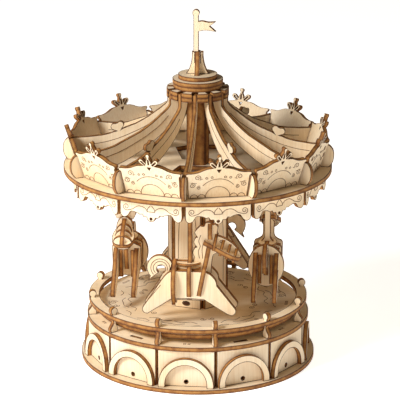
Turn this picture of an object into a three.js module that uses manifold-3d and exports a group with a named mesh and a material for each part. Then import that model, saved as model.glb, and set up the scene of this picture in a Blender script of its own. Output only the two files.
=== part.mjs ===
// Assembly kit of a carousel, cut by laser from thin plywood: a fixed base with a fenced deck, and a
// turning part that carries a column, four hanging horses and a tent roof with a crown of boards.
// Millimetres, +Z up. The origin is on the turning axis, on the surface that the base plate stands on.
// Azimuth 0 is the front, towards -Y, and azimuths grow towards +X. Everything repeats twelve times
// round the axis, so most places are a ring of azimuths 30 degrees apart.
import * as THREE from 'three';
import { mergeVertices } from 'three/addons/utils/BufferGeometryUtils.js';
import Module from 'manifold-3d';

// ---- Driving dimensions ----
const PLY = 2.5;                 // thickness of every sheet part
const SLOT_CLEARANCE = 0.3;      // air on each side of a sheet that sits in a slot
const GLUE_LAP = 0.2;            // depth that glued sheets of one piece share, so they make one body
const SECTORS = 12;              // boards, ribs, posts and wall panels round the axis
const SECTOR_DEG = 360 / SECTORS;

const BASE_RADIUS = 66.5;
const WALL_CORNER_RADIUS = 63;
const WALL_HEIGHT = 21;
const DECK_RADIUS = 63;
const AXLE_RADIUS = 3;
const AXLE_BORE = 3.1;
const AXLE_STUB = 2;             // length of dowel above its retaining ring
const AXLE_CAP_RADIUS = 8;
const BEARING_RADIUS = 20;
const TURN_GAP = 0.5;            // air between the bearing disc and the turntable
const TURNTABLE_RADIUS = 57.5;
const RAIL_OUTER = 62;
const RAIL_INNER = 56;
const RAIL_BOTTOM = 33.5;
const COLUMN_RADIUS = 18.5;
const COLUMN_HEIGHT = 78.5;

const HORSE_COUNT = 4;
const HORSE_ORBIT = 39.5;
const HORSE_SIDE_OFFSET = 5.85;  // from a horse's middle plane to the middle of a side plate
const HORSE_LAP_HEIGHT = 56;     // cross-lap height between a side plate and a cross plate
const HIP_POSITION = -8.5;       // along the horse, from the pole to the plate behind the saddle
const CHEST_LEAN_DEG = 10.7;
const FACE_LEAN_DEG = 112;

const CANOPY_RADIUS = 75;
const MAST_RADIUS = 6.5;
const VALANCE_CORNER_RADIUS = 72;
const CROWN_FOOT_APOTHEM = 66.65;
const CROWN_LEAN_DEG = 18;
const CROWN_LIFT = 0.3;          // air under the foot of a leaning board
const HUB_RADIUS = 17.3;
const HUB_SLOT_FLOOR = 10.3;     // radius at the bottom of a rib slot
const HUB_BOTTOM = 151.5;
const COLLAR_RADIUS = 13.6;
const STEP_RADIUS = 14;
const CAP_RADIUS = 10.8;
const SPIRE_HEIGHT = 12.5;
const OBJECT_HEIGHT = 200;

// ---- Heights that follow from the stack of sheets ----
const DECK_BOTTOM = PLY + WALL_HEIGHT;
const DECK_TOP = DECK_BOTTOM + PLY;
const TURNTABLE_BOTTOM = DECK_TOP + PLY + TURN_GAP;
const TURNTABLE_TOP = TURNTABLE_BOTTOM + PLY;
const CANOPY_BOTTOM = TURNTABLE_TOP + COLUMN_HEIGHT;
const CANOPY_TOP = CANOPY_BOTTOM + PLY;
const HUB_TOP = HUB_BOTTOM + 2 * PLY;
const SPIRE_BOTTOM = HUB_TOP + 3 * PLY;
const SPIRE_TOP = SPIRE_BOTTOM + SPIRE_HEIGHT;

// ---- Finishes: pale sheet faces, a warmer tone for parts whose cut edges show most ----
const finish = (color, roughness) => new THREE.MeshStandardMaterial({ color, roughness, metalness: 0 });
const PALE_PLY = finish('#f3dfbe', 0.62);
const SHADED_PLY = finish('#d9bd93', 0.66);
const EDGE_PLY = finish('#b9803f', 0.7);
const DOWEL = finish('#c99d63', 0.55);

const carousel = new THREE.Group();
const rad = THREE.MathUtils.degToRad;

// ---- Shapes, sheets and solids ----
const wasm = await Module();
wasm.setup();

function outline(points) {
  return new THREE.Shape(points.map(([x, y]) => new THREE.Vector2(x, y)));
}

function mirrored(half) {
  const left = half.map(([x, y]) => [-x, y]).reverse();
  return outline([...half, ...left.filter(([x]) => x !== 0)]);
}

function roundPath(radius, segments, x = 0, y = 0) {
  const points = [];
  for (let i = 0; i < segments; i += 1) {
    const turn = (2 * Math.PI * i) / segments;
    points.push(new THREE.Vector2(x + radius * Math.cos(turn), y + radius * Math.sin(turn)));
  }
  return points;
}

function arcPoints(centreX, centreY, radius, fromDeg, toDeg, steps) {
  const points = [];
  for (let i = 0; i <= steps; i += 1) {
    const turn = rad(fromDeg + ((toDeg - fromDeg) * i) / steps);
    points.push([centreX + radius * Math.cos(turn), centreY + radius * Math.sin(turn)]);
  }
  return points;
}

function sheet(shape, thickness = PLY, start = 0) {
  const geometry = new THREE.ExtrudeGeometry(shape, { depth: thickness, bevelEnabled: false });
  geometry.translate(0, 0, start);
  return geometry;
}

function solidFrom(geometry) {
  const bare = geometry.clone();
  bare.deleteAttribute('normal');
  bare.deleteAttribute('uv');
  const merged = mergeVertices(bare, 1e-4);
  const mesh = new wasm.Mesh({
    numProp: 3,
    vertProperties: new Float32Array(merged.attributes.position.array),
    triVerts: new Uint32Array(merged.index.array),
  });
  mesh.merge();
  return new wasm.Manifold(mesh);
}

function geometryFrom(solid) {
  const mesh = solid.getMesh();
  const geometry = new THREE.BufferGeometry();
  geometry.setAttribute('position', new THREE.BufferAttribute(mesh.vertProperties, 3));
  geometry.setIndex(new THREE.BufferAttribute(mesh.triVerts, 1));
  geometry.computeVertexNormals();
  return geometry;
}

function joined(geometries) {
  const solids = geometries.map(solidFrom);
  return geometryFrom(solids.reduce((whole, next) => whole.add(next)));
}

function cutBy(geometry, cutters) {
  const body = solidFrom(geometry);
  return geometryFrom(cutters.map(solidFrom).reduce((rest, cutter) => rest.subtract(cutter), body));
}

function addPiece(parent, name, geometry, material) {
  const mesh = new THREE.Mesh(geometry, material);
  mesh.name = name;
  parent.add(mesh);
  return mesh;
}

// A group whose +X points outwards at the azimuth, and whose +Y runs counter-clockwise.
function spoke(azimuthDeg) {
  const group = new THREE.Group();
  group.rotation.z = rad(azimuthDeg - 90);
  carousel.add(group);
  return group;
}

const RADIAL_SHEET = new THREE.Matrix4().makeRotationX(Math.PI / 2);        // x outwards, y up
const FACING_SHEET = new THREE.Matrix4()                                     // x sideways, y up
  .makeRotationX(Math.PI / 2)
  .multiply(new THREE.Matrix4().makeRotationY(Math.PI / 2));

const number = (index) => String(index + 1).padStart(2, '0');

// A round sheet with a hole, lying flat.
function disc(radius, holeRadius, bottom, segments = 72) {
  const shape = new THREE.Shape(roundPath(radius, segments));
  if (holeRadius > 0) shape.holes.push(new THREE.Path(roundPath(holeRadius, 24)));
  return sheet(shape, PLY, bottom);
}

// ---- Base: plate, wall of twelve panels with arches, deck ----
addPiece(carousel, 'base_plate', disc(BASE_RADIUS, 0, 0), PALE_PLY);

function wallPanel(azimuthDeg) {
  const apothem = WALL_CORNER_RADIUS * Math.cos(rad(SECTOR_DEG / 2));
  const halfWidth = WALL_CORNER_RADIUS * Math.sin(rad(SECTOR_DEG / 2));
  const peepholeRadius = 1;
  const peepholeHeight = 5.3;
  const panel = outline([
    [-halfWidth, PLY],
    [halfWidth, PLY],
    [halfWidth, DECK_BOTTOM],
    [-halfWidth, DECK_BOTTOM],
  ]);
  panel.holes.push(new THREE.Path(roundPath(peepholeRadius, 6, 0, peepholeHeight)));
  const arch = archShape();
  const turn = new THREE.Matrix4().makeRotationZ(rad(azimuthDeg - 90));
  const board = sheet(panel, PLY, apothem - PLY);
  const raised = sheet(arch, PLY + GLUE_LAP, apothem - GLUE_LAP);
  return [board, raised].map((geometry) => geometry.applyMatrix4(FACING_SHEET).applyMatrix4(turn));
}

function archShape() {
  const centre = 4.2;
  const outer = 15.3;
  const inner = 11.5;
  return outline([
    [outer, PLY],
    ...arcPoints(0, centre, outer, 0, 180, 12),
    [-outer, PLY],
    [-inner, PLY],
    ...arcPoints(0, centre, inner, 180, 0, 9),
    [inner, PLY],
  ]);
}

const wallSheets = [];
for (let i = 0; i < SECTORS; i += 1) wallSheets.push(...wallPanel(i * SECTOR_DEG));
addPiece(carousel, 'base_wall', joined(wallSheets), PALE_PLY);
addPiece(carousel, 'deck', disc(DECK_RADIUS, AXLE_BORE, DECK_BOTTOM), PALE_PLY);
addPiece(carousel, 'bearing_disc', disc(BEARING_RADIUS, AXLE_BORE, DECK_TOP, 36), SHADED_PLY);

// ---- Pivot: a dowel that stands on the base plate and carries a retaining ring over the turntable ----
const capBottom = TURNTABLE_TOP + TURN_GAP;
const capBore = AXLE_RADIUS + 0.1;
const axleTop = capBottom + PLY + AXLE_STUB;
const axle = new THREE.CylinderGeometry(AXLE_RADIUS, AXLE_RADIUS, axleTop - PLY, 24);
axle.rotateX(Math.PI / 2);
axle.translate(0, 0, (PLY + axleTop) / 2);
addPiece(carousel, 'pivot_axle', axle, DOWEL);
addPiece(carousel, 'axle_cap', disc(AXLE_CAP_RADIUS, capBore, capBottom, 24), SHADED_PLY);

// ---- Fence: a rail ring held in twelve balusters that stand on the deck ----
function baluster(azimuthDeg) {
  const shape = outline([
    [58.2, DECK_TOP],
    [62.6, DECK_TOP],
    [62.9, 28.2],
    [61.4, 30.6],
    [60.9, 32.2],
    [61.8, RAIL_BOTTOM],
    [61.8, 36],
    [62.3, 38],
    [61.6, 39.8],
    [60.2, 40.5],
    [58.8, 39.8],
    [58.2, 38],
    [58.8, 36],
    [58.8, RAIL_BOTTOM],
    [59.2, 32.2],
    [58.9, 30.6],
    [58.2, 28.2],
  ]);
  const turn = new THREE.Matrix4().makeRotationZ(rad(azimuthDeg - 90));
  return sheet(shape, PLY, -PLY / 2).applyMatrix4(RADIAL_SHEET).applyMatrix4(turn);
}

const fence = [disc(RAIL_OUTER, 0, RAIL_BOTTOM)];
for (let i = 0; i < SECTORS; i += 1) fence.push(baluster((i + 0.5) * SECTOR_DEG));
const railOpening = new THREE.CylinderGeometry(RAIL_INNER, RAIL_INNER, 3 * PLY, 72);
railOpening.rotateX(Math.PI / 2);
railOpening.translate(0, 0, RAIL_BOTTOM + PLY / 2);
addPiece(carousel, 'fence', cutBy(joined(fence), [railOpening]), PALE_PLY);

// ---- Turntable and the six-sided column ----
addPiece(carousel, 'turntable', disc(TURNTABLE_RADIUS, AXLE_BORE, TURNTABLE_BOTTOM), SHADED_PLY);

function hexagon(radius) {
  return roundPath(radius, 6);
}

const columnShape = new THREE.Shape(hexagon(COLUMN_RADIUS));
columnShape.holes.push(new THREE.Path(hexagon(COLUMN_RADIUS - PLY / Math.cos(rad(30)))));
const column = addPiece(carousel, 'column', sheet(columnShape, COLUMN_HEIGHT, TURNTABLE_TOP), PALE_PLY);
column.rotation.z = rad(SECTOR_DEG / 2 - 90);

// ---- Horses: x runs forward, y up and z outwards in the sheets below ----
function horseSide(offset) {
  const side = outline([
    [-25.9, 41.7],
    [-23.4, 39],
    [-21.4, 39.2],
    [-10.1, 47.6],
    [8.1, 48.2],
    [20.8, 40.2],
    [23.6, 39.4],
    [25.8, 41.6],
    [25.3, 44.2],
    [15.4, 56.3],
    [14.4, 60],
    [11.4, 63.4],
    [8.4, 64.5],
    [-10.1, 64],
    [-12.6, 62],
    [-21.1, 51.9],
  ]);
  return sheet(side, PLY, offset - PLY / 2);
}

function horseProfile() {
  const profile = outline([
    [-11.5, 50.5],
    [-12.5, 62],
    [-10, 68.3],
    [2.2, 68.3],
    [2.7, 72],
    [1.7, 75.2],
    [3.3, 77.6],
    [2.3, 80.8],
    [3.9, 83.6],
    [3.4, 86.4],
    [6.6, 87.6],
    [9, 90.2],
    [12.4, 90],
    [15, 87],
    [20.4, 82],
    [27, 76.4],
    [28.2, 73.4],
    [26.4, 71.4],
    [20, 73.4],
    [14.6, 74.6],
    [12.2, 70.4],
    [11.6, 61],
    [8.5, 50.5],
  ]);
  const tail = new THREE.Shape(roundPath(7.3, 20, -16.7, 63.8));
  tail.holes.push(new THREE.Path(roundPath(2.3, 10, -15.9, 63)));
  return [sheet(profile, PLY, -PLY / 2), sheet(tail, PLY, -PLY / 2)];
}

// A sheet that stands across the horse: its outline is drawn outwards and along its own length.
function crossSheet(shape, x, y, leanDeg) {
  const geometry = sheet(shape, PLY, -PLY / 2);
  geometry.rotateY(-Math.PI / 2);
  geometry.rotateZ(rad(-leanDeg));
  geometry.translate(x, y, 0);
  return geometry;
}

const HIP_HALF_WIDTH = 10.2;
const HIP_HALF_HEIGHT = 12.2;
const unitCircle = arcPoints(0, 0, 1, 0, 345, 23);
const hipShape = outline(unitCircle.map(([x, y]) => [HIP_HALF_WIDTH * x, HIP_HALF_HEIGHT * y]));

const chestShape = mirrored([
  [0, -17.6],
  [4.6, -17],
  [7.6, -13.8],
  [8.2, -9],
  [8.2, 1],
  [3.6, 5],
  [3, 13],
  [0, 14.4],
]);

const faceShape = mirrored([
  [0, 11],
  [3.4, 10.8],
  [5.6, 8],
  [6.2, 3.6],
  [4.6, -2],
  [3.2, -8],
  [3.6, -11],
  [0, -11],
]);

const poleShape = mirrored([
  [0, 46.4],
  [5, 46.8],
  [7.8, 50],
  [8.2, 54],
  [8.2, 64.6],
  [4, 67.6],
  [1.7, 70.2],
  [1.7, CANOPY_BOTTOM],
  [0, CANOPY_BOTTOM],
]);

// The slot that the pole drops into, cut down from the top of the horse's back only.
function poleSlot() {
  const backHeight = 76;
  const slot = new THREE.BoxGeometry(PLY + 2 * SLOT_CLEARANCE, backHeight - HORSE_LAP_HEIGHT, 3 * PLY);
  return slot.translate(0, (backHeight + HORSE_LAP_HEIGHT) / 2, 0);
}

// Boxes that a cross-lap takes out: above the lap height from a side plate, below it from a cross sheet.
function lapBoxes() {
  const wide = PLY + 2 * SLOT_CLEARANCE;
  const tall = 40;
  const deep = 60;
  const chestAtLap = 6.6;
  const uprightSlot = () => new THREE.BoxGeometry(wide, tall, deep).translate(0, tall / 2, 0);
  const hipInSide = uprightSlot().translate(HIP_POSITION, HORSE_LAP_HEIGHT, 0);
  const poleInSide = uprightSlot().translate(0, HORSE_LAP_HEIGHT, 0);
  const chestInSide = uprightSlot().rotateZ(rad(-CHEST_LEAN_DEG)).translate(chestAtLap, HORSE_LAP_HEIGHT, 0);
  const lapTop = HORSE_LAP_HEIGHT + SLOT_CLEARANCE;
  const lengthwiseSlot = (z) => new THREE.BoxGeometry(deep, tall, wide).translate(0, lapTop - tall / 2, z);
  return {
    inSide: [hipInSide, poleInSide, chestInSide],
    inCross: [lengthwiseSlot(-HORSE_SIDE_OFFSET), lengthwiseSlot(HORSE_SIDE_OFFSET)],
    profileInPole: lengthwiseSlot(0),
  };
}

function addHorse(index) {
  const group = spoke((index * 360) / HORSE_COUNT);
  const upright = new THREE.Group();
  upright.position.x = HORSE_ORBIT;
  upright.rotation.set(Math.PI / 2, Math.PI / 2, 0);
  group.add(upright);
  const laps = lapBoxes();
  const name = `horse_${index + 1}`;
  addPiece(upright, `${name}_outer_side`, cutBy(horseSide(HORSE_SIDE_OFFSET), laps.inSide), PALE_PLY);
  addPiece(upright, `${name}_inner_side`, cutBy(horseSide(-HORSE_SIDE_OFFSET), laps.inSide), PALE_PLY);
  const hip = cutBy(crossSheet(hipShape, HIP_POSITION, 56.2, 0), laps.inCross);
  const chest = cutBy(crossSheet(chestShape, 8, 63.9, CHEST_LEAN_DEG), laps.inCross);
  const face = crossSheet(faceShape, 17.6, 76.9, FACE_LEAN_DEG);
  const core = cutBy(joined([...horseProfile(), hip, chest, face]), [poleSlot()]);
  addPiece(upright, `${name}_core`, core, PALE_PLY);
  const pole = cutBy(crossSheet(poleShape, 0, 0, 0), [...laps.inCross, laps.profileInPole]);
  addPiece(upright, `${name}_pole`, pole, PALE_PLY);
}

for (let i = 0; i < HORSE_COUNT; i += 1) addHorse(i);

// ---- Canopy plate with a window before and behind the mast that carries the hub ----
const canopyShape = new THREE.Shape(roundPath(CANOPY_RADIUS, 72));
const windowHalf = [
  [0, 6.6],
  [9.4, 6.6],
  [15.6, 30],
  [6.1, 37],
  [0, 37],
];
for (const side of [-1, 1]) {
  const corners = mirrored(windowHalf).getPoints().map((corner) => corner.multiplyScalar(side));
  canopyShape.holes.push(new THREE.Path(corners));
}
addPiece(carousel, 'canopy_plate', sheet(canopyShape, PLY, CANOPY_BOTTOM), PALE_PLY);

const mastShape = new THREE.Shape(hexagon(MAST_RADIUS));
const mast = addPiece(carousel, 'mast', sheet(mastShape, HUB_BOTTOM - CANOPY_TOP, CANOPY_TOP), PALE_PLY);
mast.rotation.z = rad(SECTOR_DEG / 2 - 90);

// ---- Valance: twelve scalloped boards under the canopy's rim ----

function valanceBoard(azimuthDeg) {
  const apothem = VALANCE_CORNER_RADIUS * Math.cos(rad(SECTOR_DEG / 2));
  const halfWidth = VALANCE_CORNER_RADIUS * Math.sin(rad(SECTOR_DEG / 2));
  const board = mirrored([
    [0, -11.4],
    [1.8, -10.6],
    [3, -8.6],
    [6.5, -7.4],
    [10, -7],
    [12.6, -7.8],
    [14, -9.6],
    [16, -10],
    [halfWidth, -8.4],
    [halfWidth, 0],
  ]);
  const turn = new THREE.Matrix4().makeRotationZ(rad(azimuthDeg - 90));
  const geometry = sheet(board, PLY, -PLY).translate(0, CANOPY_BOTTOM, apothem);
  return geometry.applyMatrix4(FACING_SHEET).applyMatrix4(turn);
}

const valance = [];
for (let i = 0; i < SECTORS; i += 1) valance.push(valanceBoard((i + 0.5) * SECTOR_DEG));
addPiece(carousel, 'valance', joined(valance), PALE_PLY);

// ---- Crown: twelve boards that lean outwards, each with a cut-out finial ----
const crownShape = mirrored([
  [0, 0],
  [15.6, 0],
  [16.6, 13.4],
  [17.7, 15.2],
  [13, 16.2],
  [9, 17.6],
  [4.8, 18.3],
  [6, 20.6],
  [5.4, 22.4],
  [3.8, 22.4],
  [1.8, 21.4],
  [0.8, 24.4],
  [1.2, 26],
  [0, 26.8],
]);

function addCrownBoard(index) {
  const lean = new THREE.Group();
  lean.position.set(CROWN_FOOT_APOTHEM, 0, CANOPY_TOP + CROWN_LIFT);
  lean.rotation.y = rad(CROWN_LEAN_DEG);
  spoke((index + 0.5) * SECTOR_DEG).add(lean);
  const board = addPiece(lean, `crown_board_${number(index)}`, sheet(crownShape, PLY, -PLY), PALE_PLY);
  board.rotation.set(Math.PI / 2, Math.PI / 2, 0);
}

for (let i = 0; i < SECTORS; i += 1) addCrownBoard(i);

// ---- Roof ribs: radial sheets from the slotted hub down to the rim, every second one with a heart ----
const RIB_TOP = HUB_TOP - 0.1;
const ribHeart = [
  [48.3, 131.6],
  [46.6, 133.4],
  [44.6, 133.2],
  [44.2, 135.4],
  [42.2, 136.2],
  [40.5, 134.8],
];

const ribShape = (heart) => outline([
  [10.6, RIB_TOP],
  [10.6, 150],
  [11.8, 146],
  [14.4, 141],
  [20, 134],
  [26.5, 128.7],
  [33.2, 124.5],
  [41.5, 120.2],
  [50, 117],
  [59, 115],
  [60.5, CANOPY_TOP],
  [73.2, CANOPY_TOP],
  [75.2, 115.2],
  [76.2, 118.4],
  [76, 121.6],
  [74.4, 124.4],
  [72.4, 125.4],
  [63, 126],
  [54.5, 127.2],
  [48.2, 129],
  ...heart,
  [40.6, 131.8],
  [35, 134.5],
  [28.5, 138.4],
  [21.8, 143.4],
  [16.9, 147.5],
  [16.9, RIB_TOP],
]);

for (let i = 0; i < SECTORS; i += 1) {
  const ribSheet = sheet(ribShape(i % 2 === 1 ? ribHeart : []), PLY, -PLY / 2);
  const rib = addPiece(spoke(i * SECTOR_DEG), `roof_rib_${number(i)}`, ribSheet, PALE_PLY);
  rib.rotation.x = Math.PI / 2;
}

// ---- Hub: two slotted discs that hold the ribs' inner ends, then plain discs of falling size ----
function slottedShape() {
  const halfSlot = PLY / 2 + SLOT_CLEARANCE;
  const rimAngleDeg = THREE.MathUtils.radToDeg(Math.asin(halfSlot / HUB_RADIUS));
  const points = [];
  for (let i = 0; i < SECTORS; i += 1) {
    const middle = rad(i * SECTOR_DEG);
    for (const [along, across] of [[HUB_SLOT_FLOOR, -halfSlot], [HUB_SLOT_FLOOR, halfSlot]]) {
      points.push([
        along * Math.cos(middle) - across * Math.sin(middle),
        along * Math.sin(middle) + across * Math.cos(middle),
      ]);
    }
    const toothFrom = i * SECTOR_DEG + rimAngleDeg;
    const toothTo = (i + 1) * SECTOR_DEG - rimAngleDeg;
    points.push(...arcPoints(0, 0, HUB_RADIUS, toothFrom, toothTo, 4));
  }
  return outline(points);
}

addPiece(carousel, 'hub_lower', sheet(slottedShape(), PLY, HUB_BOTTOM), EDGE_PLY);
addPiece(carousel, 'hub_upper', sheet(slottedShape(), PLY, HUB_BOTTOM + PLY), EDGE_PLY);
addPiece(carousel, 'collar_disc', disc(COLLAR_RADIUS, 0, HUB_TOP, 48), EDGE_PLY);
addPiece(carousel, 'step_disc', disc(STEP_RADIUS, 0, HUB_TOP + PLY, 48), EDGE_PLY);
addPiece(carousel, 'cap_disc', disc(CAP_RADIUS, 0, HUB_TOP + 2 * PLY, 48), EDGE_PLY);

// ---- Spire: two flared fins cross-lapped at half height ----
const FIN_FLARE = [
  [6.4, 0],
  [4.6, 2.6],
  [3.6, 6],
  [3.1, 9.5],
  [3.1, SPIRE_HEIGHT],
];

// The slot runs from one end of the fin to its middle height: from the foot, or from the top.
function finShape(slotAtFoot) {
  const halfSlot = PLY / 2 + SLOT_CLEARANCE;
  const halfAir = SLOT_CLEARANCE / 2;
  const middle = SPIRE_HEIGHT / 2;
  const left = FIN_FLARE.map(([x, y]) => [-x, y]).reverse();
  if (slotAtFoot) {
    const end = middle + halfAir;
    return outline([...FIN_FLARE, ...left, [-halfSlot, 0], [-halfSlot, end], [halfSlot, end], [halfSlot, 0]]);
  }
  const end = middle - halfAir;
  const slot = [[halfSlot, SPIRE_HEIGHT], [halfSlot, end], [-halfSlot, end], [-halfSlot, SPIRE_HEIGHT]];
  return outline([...FIN_FLARE, ...slot, ...left]);
}

function addFin(name, azimuthDeg, slotAtFoot) {
  const stand = spoke(azimuthDeg);
  stand.position.z = SPIRE_BOTTOM;
  const fin = addPiece(stand, name, sheet(finShape(slotAtFoot), PLY, -PLY / 2), PALE_PLY);
  fin.rotation.x = Math.PI / 2;
}
addFin('spire_side_fin', 90, false);
addFin('spire_front_fin', 0, true);

// ---- Flag: a flat pole with a ball top and a swallow-tailed pennant, standing on the spire ----
const FLAG_OFFSET = -0.9;
const BALL_RADIUS = 1.9;
const poleHalf = 1.35;
const flagShape = outline([
  [-poleHalf, SPIRE_TOP],
  [poleHalf, SPIRE_TOP],
  [poleHalf, 187.9],
  [5, 188.4],
  [11.2, 187.9],
  [7.4, 190.9],
  [10.8, 193.4],
  [6.5, 193.1],
  [3.4, 193.7],
  [poleHalf, 193.4],
  [poleHalf, 196.6],
  ...arcPoints(0, OBJECT_HEIGHT - BALL_RADIUS, BALL_RADIUS, -30, 210, 10),
  [-poleHalf, 196.6],
]);
const flagStand = new THREE.Group();
flagStand.position.x = FLAG_OFFSET;
carousel.add(flagStand);
addPiece(flagStand, 'flag', sheet(flagShape, PLY, -PLY / 2), PALE_PLY).rotation.x = Math.PI / 2;

export default carousel;
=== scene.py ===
import math

import bmesh
import bpy
from mathutils import Matrix, Vector


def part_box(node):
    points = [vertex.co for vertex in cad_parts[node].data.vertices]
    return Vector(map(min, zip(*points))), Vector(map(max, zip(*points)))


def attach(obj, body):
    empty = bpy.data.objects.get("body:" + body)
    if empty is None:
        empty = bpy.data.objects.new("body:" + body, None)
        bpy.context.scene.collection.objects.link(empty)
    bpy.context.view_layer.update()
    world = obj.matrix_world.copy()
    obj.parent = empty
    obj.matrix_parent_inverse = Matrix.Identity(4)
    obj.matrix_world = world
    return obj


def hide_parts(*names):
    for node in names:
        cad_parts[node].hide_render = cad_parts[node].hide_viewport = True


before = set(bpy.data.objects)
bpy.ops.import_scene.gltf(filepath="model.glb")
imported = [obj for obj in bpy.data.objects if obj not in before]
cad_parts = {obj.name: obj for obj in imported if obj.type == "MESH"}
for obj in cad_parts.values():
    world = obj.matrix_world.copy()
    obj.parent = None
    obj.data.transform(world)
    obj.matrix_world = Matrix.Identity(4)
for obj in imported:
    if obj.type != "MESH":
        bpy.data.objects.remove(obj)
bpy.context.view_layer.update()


# ---- Camera ----
# A long lens that looks down by about seventeen degrees, from six degrees to the right of the
# front. It is aimed a little below the middle of the object.
MM = 0.001
CAMERA_AZIMUTH = math.radians(6)
CAMERA_ELEVATION = math.radians(17)
CAMERA_DISTANCE = 1200 * MM
AIM_HEIGHT = 90.6 * MM
MIDDLE_HEIGHT = 100 * MM

camera_data = bpy.data.cameras.new("camera")
camera_data.lens = 192.4
camera_data.sensor_width = 36
camera_data.shift_x = 0.0055
camera = bpy.data.objects.new("camera", camera_data)
bpy.context.scene.collection.objects.link(camera)
bpy.context.scene.camera = camera
flat_distance = CAMERA_DISTANCE * math.cos(CAMERA_ELEVATION)
camera.location = (
    flat_distance * math.sin(CAMERA_AZIMUTH),
    -flat_distance * math.cos(CAMERA_AZIMUTH),
    MIDDLE_HEIGHT + CAMERA_DISTANCE * math.sin(CAMERA_ELEVATION),
)
drop = camera.location.z - AIM_HEIGHT
camera.rotation_euler = (math.pi / 2 - math.atan2(drop, flat_distance), 0, CAMERA_AZIMUTH)


# ---- Light and floor ----
# A softbox to the left of the camera and above it, a weak warm one beside the camera, a dim warm
# room, and a white paper floor that glows a little. Plain display colours keep the paper white.
bpy.context.scene.view_settings.view_transform = "Standard"


def add_softbox(name, azimuth, elevation, distance, size, power, colour=(1, 1, 1)):
    """A square area light that looks at the middle of the object, with its distance in metres."""
    light_data = bpy.data.lights.new(name, "AREA")
    light_data.shape = "SQUARE"
    light_data.size = size
    light_data.energy = power
    light_data.color = colour
    softbox = bpy.data.objects.new(name, light_data)
    bpy.context.scene.collection.objects.link(softbox)
    turn = math.radians(azimuth)
    lift = math.radians(elevation)
    softbox.location = (
        distance * math.cos(lift) * math.sin(turn),
        -distance * math.cos(lift) * math.cos(turn),
        distance * math.sin(lift) + MIDDLE_HEIGHT,
    )
    softbox.rotation_euler = (math.pi / 2 - lift, 0, turn)


add_softbox("key_softbox", azimuth=-48, elevation=33, distance=0.95, size=0.3, power=9.6)
add_softbox("fill_softbox", azimuth=10, elevation=14, distance=1.3, size=0.6, power=0.8,
            colour=(1, 0.88, 0.74))

room = bpy.data.worlds.new("white_room")
room.use_nodes = True
room.node_tree.nodes["Background"].inputs["Color"].default_value = (1.0, 0.88, 0.72, 1)
room.node_tree.nodes["Background"].inputs["Strength"].default_value = 0.1
bpy.context.scene.world = room


def linear(hex_code):
    """A colour from its sRGB hex code, as the linear values that the shader takes."""
    values = []
    for start in (0, 2, 4):
        value = int(hex_code[start:start + 2], 16) / 255
        values.append(value / 12.92 if value <= 0.04045 else ((value + 0.055) / 1.055) ** 2.4)
    return (*values, 1)


def new_material(name, roughness):
    """A material with its node tree and its surface shader. Paper and wood share one IOR."""
    material = bpy.data.materials.new(name)
    material.use_nodes = True
    surface = material.node_tree.nodes["Principled BSDF"]
    surface.inputs["Roughness"].default_value = roughness
    surface.inputs["IOR"].default_value = 1.5
    return material, material.node_tree, surface


def paper_floor():
    """Matt white backdrop paper, brighter than the wood so that the object stands clear of it."""
    material, _, surface = new_material("white_backdrop_paper", roughness=0.9)
    surface.inputs["Base Color"].default_value = linear("fdfdfd")
    surface.inputs["Emission Color"].default_value = linear("fffaf4")
    surface.inputs["Emission Strength"].default_value = 0.9
    return material


floor_mesh = bmesh.new()
bmesh.ops.create_circle(floor_mesh, cap_ends=True, radius=3.0, segments=64)
floor_data = bpy.data.meshes.new("floor")
floor_mesh.to_mesh(floor_data)
floor_mesh.free()
floor = bpy.data.objects.new("floor", floor_data)
floor_data.materials.append(paper_floor())
bpy.context.scene.collection.objects.link(floor)


# ---- Base plate ----
# A round of three-layer basswood plywood that everything stands on. A laser cuts it, which leaves
# pale sanded faces, honey-brown edges and a thin line of soot along every cut.
PLY = 2.5
SOOT_MARGIN = 0.33
RIM_STEPS = 144
GRAIN_LINES_PER_METRE = 1250
GRAIN_BREAKS_PER_METRE = 55


def add_node(tree, kind, settings=None, links=None):
    """One shader node, with its properties or inputs set by name and sockets linked to its inputs."""
    node = tree.nodes.new(kind)
    for name, value in (settings or {}).items():
        if hasattr(node, name):
            setattr(node, name, value)
        else:
            node.inputs[name].default_value = value
    for name, socket in (links or {}).items():
        tree.links.new(socket, node.inputs[name])
    return node


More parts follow.
